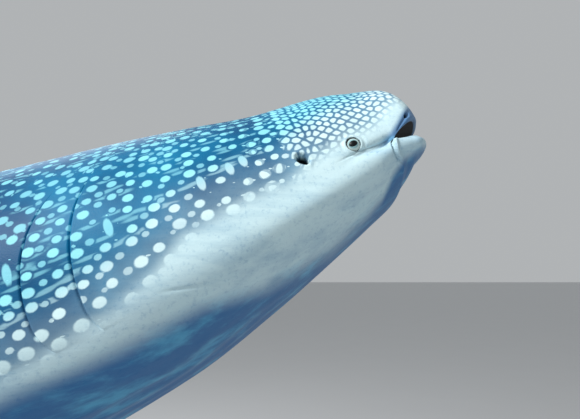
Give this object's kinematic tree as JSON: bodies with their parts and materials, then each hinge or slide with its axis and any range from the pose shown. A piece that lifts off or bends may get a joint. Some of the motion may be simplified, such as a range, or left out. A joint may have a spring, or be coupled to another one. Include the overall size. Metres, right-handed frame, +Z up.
{
  "type": "whale shark model on a display stand",
  "caption": "Life-size whale shark in a nose-up swimming pose, carried by two posts on a flat display base.",
  "frame": {"origin": "centre of the underside of the stand's base, on the floor", "axes": "+Z up; +X along the floor towards the head, so the nose-up body rises along it; -Y towards the right flank"},
  "size_m": [7.7839, 3.306, 4.1633],
  "materials": {
    "shark_skin": "slate blue-green hide with pale spots and a white belly, soft wet sheen",
    "eye": "clear glossy eye with a pale iris ring and a dark pupil",
    "stand_paint": "satin dark grey powder coat",
    "stand_steel": "brushed tube",
    "stand_rubber": "matte pad"
  },
  "bodies": {
    "root": {"head": "shark_skin", "lower_jaw": "shark_skin", "gill_region": "shark_skin", "trunk_front": "shark_skin", "trunk_rear": "shark_skin", "tail_stalk": "shark_skin", "caudal_fin_upper": "shark_skin", "caudal_fin_lower": "shark_skin", "dorsal_fin_first": "shark_skin", "dorsal_fin_second": "shark_skin", "anal_fin": "shark_skin", "pectoral_fin_left": "shark_skin", "pectoral_fin_right": "shark_skin", "pelvic_fin_left": "shark_skin", "pelvic_fin_right": "shark_skin", "eye_left": "eye", "eye_right": "eye", "stand_base": "stand_paint", "stand_foot_front": "stand_paint", "stand_foot_rear": "stand_paint", "stand_post_front": "stand_steel", "stand_post_rear": "stand_steel", "stand_saddle_front": "stand_rubber", "stand_saddle_rear": "stand_rubber"}
  },
  "joints": []
}
